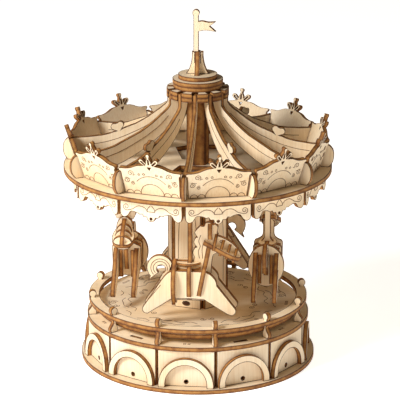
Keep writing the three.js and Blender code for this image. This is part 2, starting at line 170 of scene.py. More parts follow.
def basswood_face(name, grain_along_z):
    """Sanded basswood veneer: cream, faint straight grain 0.8 mm apart, slow tone shifts between areas."""
    material, tree, surface = new_material(name, roughness=0.62)
    place = add_node(tree, "ShaderNodeTexCoord")
    across = GRAIN_LINES_PER_METRE
    along = GRAIN_BREAKS_PER_METRE
    grain_scale = (across, across, along) if grain_along_z else (along, across, across)
    stretched = add_node(tree, "ShaderNodeMapping", {"Scale": grain_scale},
                         {"Vector": place.outputs["Object"]})
    grain = add_node(tree, "ShaderNodeTexNoise", {"Scale": 1.0, "Detail": 3.0, "Roughness": 0.6},
                     {"Vector": stretched.outputs["Vector"]})
    tone = add_node(tree, "ShaderNodeTexNoise", {"Scale": 38.0, "Detail": 2.0},
                    {"Vector": place.outputs["Object"]})
    colours = add_node(tree, "ShaderNodeValToRGB", links={"Fac": tone.outputs["Fac"]})
    colours.color_ramp.elements[0].position = 0.35
    colours.color_ramp.elements[0].color = linear("f2dab4")
    colours.color_ramp.elements[1].position = 0.65
    colours.color_ramp.elements[1].color = linear("fae8cb")
    streaks = add_node(tree, "ShaderNodeValToRGB", links={"Fac": grain.outputs["Fac"]})
    streaks.color_ramp.elements[0].position = 0.3
    streaks.color_ramp.elements[0].color = linear("e6d3b6")
    streaks.color_ramp.elements[1].position = 0.6
    streaks.color_ramp.elements[1].color = linear("ffffff")
    mix = add_node(tree, "ShaderNodeMix", {"data_type": "RGBA", "blend_type": "MULTIPLY"})
    mix.inputs["Factor"].default_value = 0.4
    tree.links.new(colours.outputs["Color"], mix.inputs[6])
    tree.links.new(streaks.outputs["Color"], mix.inputs[7])
    bump = add_node(tree, "ShaderNodeBump", {"Strength": 0.12, "Distance": 0.00005},
                    {"Height": grain.outputs["Fac"]})
    tree.links.new(mix.outputs[2], surface.inputs["Base Color"])
    tree.links.new(bump.outputs["Normal"], surface.inputs["Normal"])
    return material


def laser_edge():
    """The cut edge of plywood: scorched dark next to both veneers, honey brown along the core."""
    material, tree, surface = new_material("laser_browned_ply_edge", roughness=0.78)
    place = add_node(tree, "ShaderNodeTexCoord")
    depth = add_node(tree, "ShaderNodeSeparateXYZ", links={"Vector": place.outputs["UV"]})
    layers = add_node(tree, "ShaderNodeValToRGB", links={"Fac": depth.outputs["Y"]})
    layers.color_ramp.elements[0].color = linear("4a250d")
    layers.color_ramp.elements[1].color = linear("4a250d")
    for position, colour in ((0.15, "86531f"), (0.4, "ad7838"), (0.6, "bb8747"), (0.86, "8d5a26")):
        layers.color_ramp.elements.new(position).color = linear(colour)
    streaks = add_node(tree, "ShaderNodeTexNoise", {"Scale": 260.0, "Detail": 3.0, "Roughness": 0.6},
                       {"Vector": place.outputs["Object"]})
    char = add_node(tree, "ShaderNodeValToRGB", links={"Fac": streaks.outputs["Fac"]})
    char.color_ramp.elements[0].position = 0.32
    char.color_ramp.elements[0].color = linear("a98a70")
    char.color_ramp.elements[1].position = 0.6
    char.color_ramp.elements[1].color = linear("ffffff")
    mix = add_node(tree, "ShaderNodeMix", {"data_type": "RGBA", "blend_type": "MULTIPLY"})
    mix.inputs["Factor"].default_value = 0.8
    tree.links.new(layers.outputs["Color"], mix.inputs[6])
    tree.links.new(char.outputs["Color"], mix.inputs[7])
    tree.links.new(mix.outputs[2], surface.inputs["Base Color"])
    return material


def soot_line(name, hex_code):
    """Scorched veneer beside a laser cut or in a burnt line: flat dark brown, quite matt."""
    material, tree, surface = new_material(name, roughness=0.85)
    place = add_node(tree, "ShaderNodeTexCoord")
    smudge = add_node(tree, "ShaderNodeTexNoise", {"Scale": 300.0, "Detail": 2.0},
                      {"Vector": place.outputs["Object"]})
    colours = add_node(tree, "ShaderNodeValToRGB", links={"Fac": smudge.outputs["Fac"]})
    colours.color_ramp.elements[0].position = 0.3
    colours.color_ramp.elements[0].color = linear(hex_code)
    colours.color_ramp.elements[1].position = 0.75
    colours.color_ramp.elements[1].color = linear("6b4320")
    tree.links.new(colours.outputs["Color"], surface.inputs["Base Color"])
    return material


FLAT_FACE = basswood_face("sanded_basswood_flat", grain_along_z=False)
EDGE = laser_edge()
SOOT = soot_line("soot_beside_cut", "361a08")


def arc(centre_x, centre_y, radius, start, end, steps):
    """Points on an arc, from a start angle to an end angle in degrees."""
    points = []
    for i in range(steps + 1):
        turn = math.radians(start + (end - start) * i / steps)
        points.append((centre_x + radius * math.cos(turn), centre_y + radius * math.sin(turn)))
    return points


def circle(radius, steps, centre_x=0, centre_y=0):
    return arc(centre_x, centre_y, radius, 0, 360 - 360 / steps, steps - 1)


def cut_sheet(loops, thickness=PLY, margin=SOOT_MARGIN):
    """A flat sheet cut along the loops, the first one round it and the others holes.

    It lies in its own plane with its thickness along z. Faces take material 0, cut edges 1, soot 2.
    The depth map runs from 0 at the underside to 1 at the top, and gives the edge its layers.
    """
    sheet = bmesh.new()
    for loop in loops:
        corners = [sheet.verts.new((x * MM, y * MM, 0)) for x, y in loop]
        for corner, following in zip(corners, corners[1:] + corners[:1]):
            sheet.edges.new((corner, following))
    bmesh.ops.triangle_fill(sheet, use_beauty=True, use_dissolve=False, edges=sheet.edges[:],
                            normal=(0, 0, 1))
    bmesh.ops.recalc_face_normals(sheet, faces=sheet.faces[:])
    rim = bmesh.ops.inset_region(sheet, faces=sheet.faces[:], use_boundary=True, use_even_offset=True,
                                 thickness=margin * MM, depth=0)
    for face in rim["faces"]:
        face.material_index = 2
    grown = bmesh.ops.extrude_face_region(sheet, geom=sheet.faces[:])
    raised = [part for part in grown["geom"] if isinstance(part, bmesh.types.BMVert)]
    bmesh.ops.translate(sheet, vec=(0, 0, thickness * MM), verts=raised)
    sheet.normal_update()
    depth = sheet.loops.layers.uv.new("depth")
    for face in sheet.faces:
        if abs(face.normal.z) < 0.5:
            face.material_index = 1
        for corner in face.loops:
            corner[depth].uv = (corner.vert.co.x / MM, corner.vert.co.z / (thickness * MM))
    return sheet


def set_in_place(name, mesh, place, body, materials, stands_for=()):
    """Turns a mesh into a named piece at its place on the object, riding on a body."""
    bmesh.ops.transform(mesh, matrix=place, verts=mesh.verts[:])
    bmesh.ops.recalc_face_normals(mesh, faces=mesh.faces[:])
    data = bpy.data.meshes.new(name)
    mesh.to_mesh(data)
    mesh.free()
    piece = bpy.data.objects.new(name, data)
    bpy.context.scene.collection.objects.link(piece)
    for material in materials:
        data.materials.append(material)
    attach(piece, body)
    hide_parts(*stands_for)


FLAT_SHEET = (FLAT_FACE, EDGE, SOOT)


def lying_at(height):
    """The place of a sheet that lies flat with its underside at a height in millimetres."""
    return Matrix.Translation((0, 0, height * MM))


def radius_of(node):
    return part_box(node)[1].x / MM


base_plate = cut_sheet([circle(radius_of("base_plate"), RIM_STEPS)])
set_in_place("base_plate_round", base_plate, lying_at(0), "base", FLAT_SHEET, ["base_plate"])


# ---- Wall of the base ----
# Twelve upright plywood panels round the base, each with a peephole and a cut arch glued on its face.
# The panels only meet at their inner corners, which leaves a dark slit at every corner.
SECTORS = 12
SECTOR_ANGLE = 360 // SECTORS
HALF_SECTOR = SECTOR_ANGLE / 2
WALL_CORNER_RADIUS = 63
PANEL_GAP = 0.65
PEEPHOLE_RADIUS = 1.05
PEEPHOLE_HEIGHT = 2.8
ARCH_OUTER = 15.3
ARCH_INNER = 11.5
ARCH_CENTRE = 1.7
UPRIGHT_FACE = basswood_face("sanded_basswood_upright", grain_along_z=True)
UPRIGHT_SHEET = (UPRIGHT_FACE, EDGE, SOOT)


def bottom_of(node):
    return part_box(node)[0].z / MM


def top_of(node):
    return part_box(node)[1].z / MM


def spoke(azimuth):
    """A frame whose x points outwards at an azimuth in degrees, with y counter-clockwise and z up."""
    return Matrix.Rotation(math.radians(azimuth - 90), 4, "Z")


# A sheet that faces outwards has its x sideways, its y up and its thickness outwards.
FACING_OUT = Matrix(((0, 0, 1, 0), (1, 0, 0, 0), (0, 1, 0, 0), (0, 0, 0, 1)))


def facing_at(azimuth, distance, height, lean=0):
    """The place of a sheet whose inner face is at a distance from the axis, leaning outwards by degrees."""
    foot = Matrix.Translation((distance * MM, 0, height * MM))
    return spoke(azimuth) @ foot @ Matrix.Rotation(math.radians(lean), 4, "Y") @ FACING_OUT


wall_bottom = top_of("base_plate")
wall_height = bottom_of("deck") - wall_bottom
wall_distance = WALL_CORNER_RADIUS * math.cos(math.radians(HALF_SECTOR))
panel_half = WALL_CORNER_RADIUS * math.sin(math.radians(HALF_SECTOR)) - PANEL_GAP
panel_outline = [(-panel_half, 0), (panel_half, 0), (panel_half, wall_height), (-panel_half, wall_height)]
peephole = circle(PEEPHOLE_RADIUS, 16, 0, PEEPHOLE_HEIGHT)
arch_outline = [(ARCH_OUTER, 0), *arc(0, ARCH_CENTRE, ARCH_OUTER, 0, 180, 40), (-ARCH_OUTER, 0)]
arch_outline += [(-ARCH_INNER, 0), *arc(0, ARCH_CENTRE, ARCH_INNER, 180, 0, 32), (ARCH_INNER, 0)]
for index in range(SECTORS):
    azimuth = index * SECTOR_ANGLE
    number = f"{index + 1:02d}"
    panel = cut_sheet([panel_outline, peephole])
    panel_place = facing_at(azimuth, wall_distance - PLY, wall_bottom)
    set_in_place(f"wall_panel_{number}", panel, panel_place, "base", UPRIGHT_SHEET, ["base_wall"])
    arch = cut_sheet([arch_outline])
    arch_place = facing_at(azimuth, wall_distance, wall_bottom)
    set_in_place(f"wall_arch_{number}", arch, arch_place, "base", UPRIGHT_SHEET, ["base_wall"])


# ---- Deck ----
# A plywood disc laid on the wall, bored for the pivot and cut with six slots for locking tabs.
# Pairs of small crosses are burnt between the slots.
SLOT_LENGTH = 7.8
SLOT_WIDTH = 1.5
SLOT_ORBIT = 57.4
BORE_RADIUS = 3.1
BORE_STEPS = 24
CROSS_SHIFT = 1.2
CROSS_SIZE = 1.1
BURNT_WIDTH = 0.36
BURNT_LINE = soot_line("engraved_burnt_line", "6b4520")


def slot_hole(azimuth, orbit, length, width):
    """A straight slot across a spoke, as a loop of points."""
    turn = math.radians(azimuth - 90)
    loop = []
    for out, side in ((-width, -length), (width, -length), (width, length), (-width, length)):
        radial = orbit + out / 2
        loop.append((
            radial * math.cos(turn) - side / 2 * math.sin(turn),
            radial * math.sin(turn) + side / 2 * math.cos(turn),
        ))
    return loop


def engraving(name, lines, place, body, level=PLY):
    """Burnt lines on the face of a sheet: each line is a fine ridge of char half sunk in the face."""
    curve = bpy.data.curves.new(name, "CURVE")
    curve.dimensions = "3D"
    curve.bevel_depth = BURNT_WIDTH / 2 * MM
    curve.bevel_resolution = 0
    curve.use_fill_caps = True
    for line in lines:
        spline = curve.splines.new("POLY")
        spline.points.add(len(line) - 1)
        for point, (x, y) in zip(spline.points, line):
            point.co = (x * MM, y * MM, level * MM, 1)
    pen = bpy.data.objects.new(name, curve)
    bpy.context.scene.collection.objects.link(pen)
    ridge = bmesh.new()
    ridge.from_mesh(bpy.data.meshes.new_from_object(pen))
    bpy.data.objects.remove(pen)
    bmesh.ops.remove_doubles(ridge, verts=ridge.verts[:], dist=1e-7)
    set_in_place(name, ridge, place, body, [BURNT_LINE])


deck_bottom = bottom_of("deck")
deck_slots = [slot_hole(30 + 60 * index, SLOT_ORBIT, SLOT_LENGTH, SLOT_WIDTH) for index in range(6)]
deck = cut_sheet([circle(radius_of("deck"), RIM_STEPS), circle(BORE_RADIUS, BORE_STEPS), *deck_slots])
set_in_place("deck_round", deck, lying_at(deck_bottom), "base", FLAT_SHEET, ["deck"])


def little_cross(azimuth, orbit, size):
    """The two short lines of a burnt cross."""
    turn = math.radians(azimuth - 90)
    x = orbit * math.cos(turn)
    y = orbit * math.sin(turn)
    lines = []
    for slant in (45, 135):
        run = math.radians(slant + azimuth)
        across = (size * math.cos(run), size * math.sin(run))
        lines.append([(x - across[0], y - across[1]), (x + across[0], y + across[1])])
    return lines


crosses = []
for index in range(6):
    for shift in (-CROSS_SHIFT, CROSS_SHIFT):
        crosses += little_cross(index * 60 + shift, SLOT_ORBIT, CROSS_SIZE)
engraving("deck_crosses", crosses, lying_at(deck_bottom), "base")


# ---- Bearing and pivot ----
# A plain plywood disc under the turntable, and a turned beech dowel with a plywood retaining ring.
# The dowel stands on the base plate, and its top and the ring are hidden in the column.
def turned_dowel():
    """Turned beech dowel, waxed: even honey colour with fine lengthwise grain and a soft sheen."""
    material, tree, surface = new_material("waxed_beech_dowel", roughness=0.45)
    place = add_node(tree, "ShaderNodeTexCoord")
    stretched = add_node(tree, "ShaderNodeMapping", {"Scale": (1600, 1600, 70)},
                         {"Vector": place.outputs["Object"]})
    grain = add_node(tree, "ShaderNodeTexNoise", {"Scale": 1.0, "Detail": 3.0},
                     {"Vector": stretched.outputs["Vector"]})
    colours = add_node(tree, "ShaderNodeValToRGB", links={"Fac": grain.outputs["Fac"]})
    colours.color_ramp.elements[0].color = linear("a9783f")
    colours.color_ramp.elements[1].color = linear("dcb57c")
    tree.links.new(colours.outputs["Color"], surface.inputs["Base Color"])
    return material


bearing = cut_sheet([circle(radius_of("bearing_disc"), 72), circle(BORE_RADIUS, BORE_STEPS)])
set_in_place("bearing_round", bearing, lying_at(bottom_of("bearing_disc")), "base", FLAT_SHEET,
             ["bearing_disc"])
ring = cut_sheet([circle(radius_of("axle_cap"), 48), circle(BORE_RADIUS, BORE_STEPS)])
set_in_place("retaining_ring", ring, lying_at(bottom_of("axle_cap")), "base", FLAT_SHEET, ["axle_cap"])
dowel_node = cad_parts["pivot_axle"]
dowel_node.data.materials.clear()
dowel_node.data.materials.append(turned_dowel())


# ---- Fence ----
# A flat rail ring threaded on twelve balusters, which are plywood sheets cut to a turned outline.
# A sheet that stands along a spoke has its x outwards, its y up and its thickness sideways.
ALONG_SPOKE = Matrix(((1, 0, 0, 0), (0, 0, -1, 0), (0, 1, 0, 0), (0, 0, 0, 1)))
RAIL_OUTER = 62
RAIL_INNER = 56
RAIL_BOTTOM = 33.5


def spoke_sheet_at(azimuth, height=0):
    """The place of a sheet that stands along a spoke, centred on it."""
    shift = Matrix.Translation((0, PLY / 2 * MM, height * MM))
    return spoke(azimuth) @ shift @ ALONG_SPOKE


def smooth(points, steps=5):
    """A curve through given points, each stretch bent by its neighbours."""
    curve = []
    for i in range(len(points) - 1):
        before = points[max(i - 1, 0)]
        start = points[i]
        end = points[i + 1]
        after = points[min(i + 2, len(points) - 1)]
        for step in range(steps):
            t = step / steps
            point = []
            for a, b, c, d in zip(before, start, end, after):
                value = 2 * b + (c - a) * t + (2 * a - 5 * b + 4 * c - d) * t * t
                value += (3 * b - a - 3 * c + d) * t * t * t
                point.append(value / 2)
            curve.append(tuple(point))
    curve.append(points[-1])
    return curve


rail = cut_sheet([circle(RAIL_OUTER, RIM_STEPS), circle(RAIL_INNER, RIM_STEPS)])
set_in_place("fence_rail", rail, lying_at(RAIL_BOTTOM), "base", FLAT_SHEET, ["fence"])

deck_top = top_of("deck")
baluster_front = smooth([(62.8, 26.8), (62.9, 28.2), (61.4, 30.4), (60.7, 32.0), (61.7, 33.4)])
baluster_back = smooth([(58.8, 33.4), (59.5, 32.0), (59.0, 30.4), (58.2, 28.2), (58.2, 26.8)])
baluster_head = arc(60.25, 38.4, 2.1, -48, 228, 22)
baluster_outline = [
    (62.5, deck_top),
    *baluster_front,
    (61.6, 36.6),
    *baluster_head,
    (58.9, 36.6),
    *baluster_back,
    (58.3, deck_top),
]
for index in range(SECTORS):
    baluster = cut_sheet([baluster_outline])
    place = spoke_sheet_at(HALF_SECTOR + SECTOR_ANGLE * index)
    set_in_place(f"baluster_{index + 1:02d}", baluster, place, "base", UPRIGHT_SHEET, ["fence"])


# ---- Turntable ----
# The turning floor, a plywood disc just above the bearing disc and bored for the pivot. It is
# engraved all over with curling clouds and tufts of grass.
SPIRAL_STEPS = 18
SPIRAL_DRAW_IN = 0.82


def spiral(centre_x, centre_y, radius, start, turns, tail=None):
    """A line that winds in to a centre, from its outer end, with an optional tail before it."""
    points = [tail] if tail else []
    for i in range(SPIRAL_STEPS + 1):
        share = i / SPIRAL_STEPS
        turn = math.radians(start + 360 * turns * share)
        reach = radius * (1 - SPIRAL_DRAW_IN * share)
        points.append((centre_x + reach * math.cos(turn), centre_y + reach * math.sin(turn)))
    return points


def around(lines, azimuth):
    """Lines drawn near the front of a flat disc, turned to an azimuth."""
    turn = math.radians(azimuth)
    turned = []
    for line in lines:
        turned.append([
            (x * math.cos(turn) - y * math.sin(turn), x * math.sin(turn) + y * math.cos(turn))
            for x, y in line
        ])
    return turned


turntable_bottom = bottom_of("turntable")
turntable = cut_sheet([circle(radius_of("turntable"), RIM_STEPS), circle(BORE_RADIUS, BORE_STEPS)])
set_in_place("turntable_round", turntable, lying_at(turntable_bottom), "carousel", FLAT_SHEET, ["turntable"])
cloud = [
    spiral(-14, -46, 2.6, 90, 1.4),
    spiral(-8.5, -46.8, 2.0, 90, -1.3),
    smooth([(-17, -47.5), (-12, -49.2), (-7, -48.6), (-3, -49.8)]),
    smooth([(-9, -37), (-5, -39.5), (0, -38), (4, -40.5)]),
    smooth([(-12, -41), (-7, -42.4), (-3, -41.2)]),
    smooth([(1, -44.5), (5, -43.4), (9, -45.2)]),
    spiral(11, -31.5, 1.9, 200, 1.3),
]
for stroke in range(6):
    x = -1.5 + stroke * 1.1
    cloud.append([(x, -51.5), (x + 0.4, -49.8)])
clouds = []
for index in range(6):
    clouds += around(cloud, 60 * index)
    clouds += around([[(-x, y) for x, y in line] for line in cloud[3:]], 60 * index + 30)
engraving("turntable_clouds", clouds, lying_at(turntable_bottom), "carousel")


# ---- Column ----
# Six tall plywood panels in a ring that only touch along their inner corners. Each is engraved with
# a tall arch, and locked by a tab whose scorched end shows in an oval hole near its foot.
COLUMN_FACE_DISTANCE = 16
COLUMN_PANEL_HALF = 7.75
TAB_SIDE = -0.9
TAB_HEIGHT = 2.6
FINE_SOOT_MARGIN = 0.2
column_bottom = bottom_of("column")
column_height = top_of("column") - column_bottom
column_outline = [
    (-COLUMN_PANEL_HALF, 0),
    (COLUMN_PANEL_HALF, 0),
    (COLUMN_PANEL_HALF, column_height),
    (-COLUMN_PANEL_HALF, column_height),
]
tab_hole = [(2.1 * x + TAB_SIDE, 1.15 * y + TAB_HEIGHT) for x, y in circle(1, 20)]
tab_end = [
    (0.82 * (x - TAB_SIDE) + TAB_SIDE, 0.72 * (y - TAB_HEIGHT) + TAB_HEIGHT)
    for x, y in tab_hole
]
tall_arch = smooth([
    (-5.4, 14), (-5.4, 40), (-4.6, 52), (-2.6, 60), (0, 63), (2.6, 60), (4.6, 52), (5.4, 40), (5.4, 14),
], 8)
for index in range(6):
    azimuth = 45 + 60 * index
    place = facing_at(azimuth, COLUMN_FACE_DISTANCE - PLY, column_bottom)
    panel = cut_sheet([column_outline, tab_hole])
    set_in_place(f"column_panel_{index + 1}", panel, place, "carousel", UPRIGHT_SHEET, ["column"])
    engraving(f"column_arch_{index + 1}", [tall_arch], place, "carousel")
    tab = cut_sheet([tab_end], margin=FINE_SOOT_MARGIN)
    set_in_place(f"column_tab_{index + 1}", tab, place, "carousel", (EDGE, EDGE, SOOT), ["column"])


# ---- Horses ----
# Four horses hang from the canopy on flat poles. Each is a rack of plywood sheets: along it two leg
# plates, two packers, a profile and a tail disc; across it a hip and a chest rib, a face plate, four
# head ribs and two ears. Two flat ovals make the saddle.
HORSE_ORBIT = 39.5
LEG_PLATE_OFFSET = 5.85
HEAD_RIB_THICKNESS = 1.7
PACKER_THICKNESS = 2.1
PACKER_OFFSET = 3.3
EAR_FORWARD = 11.4
EAR_HEIGHT = 82.6
EAR_SPREAD = 2.9
EAR_LEAN = 13
EAR_SOOT_MARGIN = 0.22
SADDLE_FORWARD = -1.2
SADDLE_THICKNESS = 1.3


def lengthwise(azimuth, offset):
    """The place of a sheet along a horse: x forward, y up, its middle at an offset outwards."""
    return facing_at(azimuth, HORSE_ORBIT + offset - PLY / 2, 0)


def crosswise(azimuth, forward, height, lean):
    """The place of a sheet across a horse at a point of its middle line, leaning forward by degrees."""
    spot = Matrix.Translation((HORSE_ORBIT * MM, forward * MM, height * MM))
    tilt = Matrix.Rotation(math.radians(-lean), 4, "X")
    centring = Matrix.Translation((0, PLY / 2 * MM, 0))
    return spoke(azimuth) @ spot @ tilt @ centring @ ALONG_SPOKE


def mirrored(half):
    """A whole outline from its right half, given from the bottom up."""
    return [*half, *[(-x, y) for x, y in reversed(half) if x > 1e-6]]


leg_plate = [
    *arc(-23.4, 41.5, 2.5, 150, 290, 8),
    (-10.1, 47.6),
    *smooth([(-8, 48.1), (0, 48.4), (8.1, 48.2)], 4),
    (20.8, 40.2),
    *arc(23.3, 42, 2.6, -110, 35, 8),
    *smooth([(15.4, 56.3), (14.6, 59.6), (11.6, 62.9), (8.4, 64.3)], 4),
    *smooth([(-8.6, 64.3), (-11.4, 63.2), (-14, 60.6)], 4),
]
leg_line = [[(-23.9, 45.3), (-15.6, 55.9)]]
tail_outline = [*arc(-16.6, 63.8, 7.3, -96, 222, 44), (-23.2, 56.2), *arc(-16, 63, 2.4, 236, -70, 24)]
tail_arcs = [arc(-16.4, 63.6, radius, -20, 225, 20) for radius in (3.9, 5.3)]
body_outline = [
    (-10.9, 51), (-11.4, 62), (-9.9, 68.2), (1.6, 68.2),
    *smooth([(2.4, 70.5), (1.4, 73.4), (2.6, 76.2)], 4),
    *smooth([(3.6, 76.6), (1.9, 79.2), (3.0, 82.0)], 4),
    *smooth([(3.9, 82.2), (2.4, 84.8), (4.2, 87.4)], 4),
    *smooth([
        (5.6, 88.9), (7.6, 88.6), (8.6, 90.6), (11, 90.9), (12.4, 89.6), (14, 90), (15.4, 88.4), (15, 85.6),
    ], 4),
    (15.2, 83.4),
    *smooth([(18.4, 82.3), (21.6, 80.6), (25, 77.8), (27.9, 73.6), (28, 71.2), (26, 70.2)], 4),
    (20, 71.6), (14.6, 73.4),
    *smooth([(13, 72.4), (12.2, 69.4), (11.6, 61)], 4),
    (8.5, 51),
]
mane_lines = [
    smooth([(5.2, 70), (4.6, 74), (5.6, 77), (4.8, 80), (6, 83.4)], 4),
    smooth([(7, 70), (6.6, 75), (7.4, 79)], 4),
    arc(17, 80.2, 0.6, 0, 360, 10),
]
hip_outline = [(10.2 * x, 12.3 * y) for x, y in circle(1, 48)]
chest_outline = mirrored([
    (0, -17.6),
    *smooth([(3.4, -17.3), (6.4, -15.2), (8.0, -11.6), (8.2, -8)], 4),
    (8.2, 0.8),
    *smooth([(7.6, 2), (5, 3.2), (3.4, 5), (3.2, 9), (3, 13), (0.01, 14.4)], 4),
])
face_outline = mirrored([
    (0, -11),
    (3.4, -11),
    *smooth([(3.4, -8), (4.8, -3), (6.2, 2.6), (5.8, 7.4), (3.6, 10.4), (0.01, 11)]),
])
pole_outline = mirrored([
    (0, 46.4),
    *smooth([(3, 46.5), (6, 48), (7.9, 51), (8.2, 54)]),
    (8.2, 64.4),
    *smooth([(7.4, 65.6), (5, 66.6), (3, 68.4), (1.7, 70.2)], 4),
    (1.7, bottom_of("canopy_plate")),
])
ear_outline = mirrored([(0, 0), (1.9, 0), *smooth([(2.5, 2.8), (1.7, 6.2), (0.01, 9)])])
# Each sheet across the body: its outline, how far forward and how high it stands, and its lean.
CROSS_SHEETS = {
    "hip_rib": (hip_outline, -8.5, 56.2, 0),
    "chest_rib": (chest_outline, 8, 63.9, 10.7),
    "face_plate": (face_outline, 17.6, 75.2, 114),
}
# Each head rib: how far forward and how high it stands, its lean, its half width, its reach down and up.
HEAD_RIBS = {
    "brow": (13.0, 77.2, 10, 4.9, 2.6, 7.6),
    "cheek": (16.8, 75.5, 14, 4.6, 3.9, 6.2),
    "bridge": (20.4, 73.9, 15, 4.9, 4.1, 5.4),
    "nose": (24.2, 72.2, 15, 5.4, 4.2, 4.6),
}
packer_outline = [(-12.4, 46.5), (9, 46.5), (10.5, 62.6), (-11.6, 62.6)]
saddle_oval = [(5.4 * x, 7.2 * y) for x, y in circle(1, 32)]


def add_horse(number, azimuth):
    """All the sheets of one horse."""
    name = f"horse_{number}"
    core = [f"{name}_core"]
    for side, offset in (("outer", LEG_PLATE_OFFSET), ("inner", -LEG_PLATE_OFFSET)):
        place = lengthwise(azimuth, offset)
        node = f"{name}_{side}_side"
        set_in_place(f"{name}_{side}_legs", cut_sheet([leg_plate]), place, "carousel", UPRIGHT_SHEET, [node])
        engraving(f"{name}_{side}_leg_line", leg_line, place, "carousel")
    middle = lengthwise(azimuth, 0)
    set_in_place(f"{name}_profile", cut_sheet([body_outline]), middle, "carousel", UPRIGHT_SHEET, core)
    set_in_place(f"{name}_tail", cut_sheet([tail_outline]), middle, "carousel", UPRIGHT_SHEET, core)
    engraving(f"{name}_mane_lines", mane_lines + tail_arcs, middle, "carousel")
    for part, (outline, forward, height, lean) in CROSS_SHEETS.items():
        place = crosswise(azimuth, forward, height, lean)
        set_in_place(f"{name}_{part}", cut_sheet([outline]), place, "carousel", UPRIGHT_SHEET, core)
    for part, (forward, height, lean, half, down, up) in HEAD_RIBS.items():
        outline = [(half * x, (up if y > 0 else down) * y) for x, y in circle(1, 32)]
        place = crosswise(azimuth, forward, height, lean)
        head_rib = cut_sheet([outline], HEAD_RIB_THICKNESS)
        set_in_place(f"{name}_{part}_rib", head_rib, place, "carousel", UPRIGHT_SHEET, core)
        if part == "nose":
            nostrils = [arc(side * 2.9, 0.6, 0.3, 0, 360, 6) for side in (-1, 1)]
            engraving(f"{name}_nostrils", nostrils, place, "carousel", level=0)
            engraving(f"{name}_nostrils_front", nostrils, place, "carousel", level=HEAD_RIB_THICKNESS)
    for side, label in ((-1, "inner"), (1, "outer")):
        packer = cut_sheet([packer_outline], PACKER_THICKNESS)
        place = lengthwise(azimuth, side * PACKER_OFFSET)
        set_in_place(f"{name}_packer_{label}", packer, place, "carousel", UPRIGHT_SHEET, core)
    pole_place = crosswise(azimuth, 0, 0, 0)
    set_in_place(f"{name}_pole_sheet", cut_sheet([pole_outline]), pole_place, "carousel", UPRIGHT_SHEET,
                 [f"{name}_pole"])
    for side, label in ((-1, "left"), (1, "right")):
        place = crosswise(azimuth, EAR_FORWARD, EAR_HEIGHT, 0)
        place = place @ Matrix.Translation((side * EAR_SPREAD * MM, 0, 0))
        place = place @ Matrix.Rotation(math.radians(-EAR_LEAN * side), 4, "Z")
        ear = cut_sheet([ear_outline], margin=EAR_SOOT_MARGIN)
        set_in_place(f"{name}_ear_{label}", ear, place, "carousel", UPRIGHT_SHEET, core)
    for level, height in (("lower", 63.8), ("upper", 66.6)):
        seat = Matrix.Translation((HORSE_ORBIT * MM, SADDLE_FORWARD * MM, height * MM))
        saddle = cut_sheet([saddle_oval], SADDLE_THICKNESS, FINE_SOOT_MARGIN)
        set_in_place(f"{name}_saddle_{level}", saddle, spoke(azimuth) @ seat, "carousel", FLAT_SHEET, core)


for index in range(4):
    add_horse(index + 1, 90 * index)


# ---- Canopy plate and mast ----
# The round plywood ceiling that the ribs, crown boards and valance boards plug into, with a window
# before and behind the mast and a thin ring hung below it. The mast is a six-sided post that carries
# the hub. Its sides are coloured in the cut-edge browns as painted shade under the roof, with dark
# seams at its corners.
CEILING_OUTER = 41
CEILING_INNER_CORNER = 18.9
CEILING_THICKNESS = 1.4
CEILING_DROP = 1.5
MAST_SIDES = 6
MAST_TURN = 15
MAST_SEAM = 0.4
# How wide the mast's painted shade spreads across a side, from a dark corner to the golden middle.
MAST_PAINTED_SHADE_SPREAD = 7
canopy_bottom = bottom_of("canopy_plate")
canopy_top = top_of("canopy_plate")
window = mirrored([(0, 6.6), (9.4, 6.6), (15.6, 30), (6.1, 37), (0, 37)])
front_window = [(-x, -y) for x, y in window]
canopy = cut_sheet([circle(radius_of("canopy_plate"), 180), window, front_window])
set_in_place("canopy_round", canopy, lying_at(canopy_bottom), "carousel", FLAT_SHEET, ["canopy_plate"])

ceiling_loops = [circle(CEILING_OUTER, 96), circle(CEILING_INNER_CORNER, MAST_SIDES)]
ceiling_ring = cut_sheet(ceiling_loops, CEILING_THICKNESS)
ceiling_place = lying_at(canopy_bottom - CEILING_DROP) @ Matrix.Rotation(math.radians(MAST_TURN), 4, "Z")
set_in_place("canopy_ceiling_ring", ceiling_ring, ceiling_place, "carousel", FLAT_SHEET, ["canopy_plate"])

# The corner nearest the x axis stands MAST_TURN degrees off it, so the box is a little narrower than
# the circle through the corners.
mast = bmesh.new()
mast_corner = radius_of("mast") * MM / math.cos(math.radians(MAST_TURN))
bmesh.ops.create_circle(mast, cap_ends=True, radius=mast_corner, segments=MAST_SIDES)
risen = bmesh.ops.extrude_face_region(mast, geom=mast.faces[:])
mast_top = [part for part in risen["geom"] if isinstance(part, bmesh.types.BMVert)]
mast_height = top_of("mast") - canopy_top
bmesh.ops.translate(mast, vec=(0, 0, mast_height * MM), verts=mast_top)
upright_seams = [edge for edge in mast.edges if abs(edge.verts[0].co.z - edge.verts[1].co.z) > MM]
bmesh.ops.bevel(mast, geom=upright_seams, offset=MAST_SEAM * MM, offset_type="OFFSET", affect="EDGES",
                segments=1, profile=0.5, material=1)
# The depth map runs across each side and colours it in the cut-edge browns, dark at its corners and
# golden in the middle. This brown is painted shade for the post under the roof.
depth = mast.loops.layers.uv.new("depth")
for face in mast.faces:
    for corner in face.loops:
        along_face = corner.vert.co.dot(Vector((-face.normal.y, face.normal.x, 0)))
        corner[depth].uv = (0, 0.5 + along_face / (MAST_PAINTED_SHADE_SPREAD * MM))
mast_place = lying_at(canopy_top) @ Matrix.Rotation(math.radians(MAST_TURN - 90), 4, "Z")
set_in_place("mast_post", mast, mast_place, "carousel", (EDGE, SOOT), ["mast"])


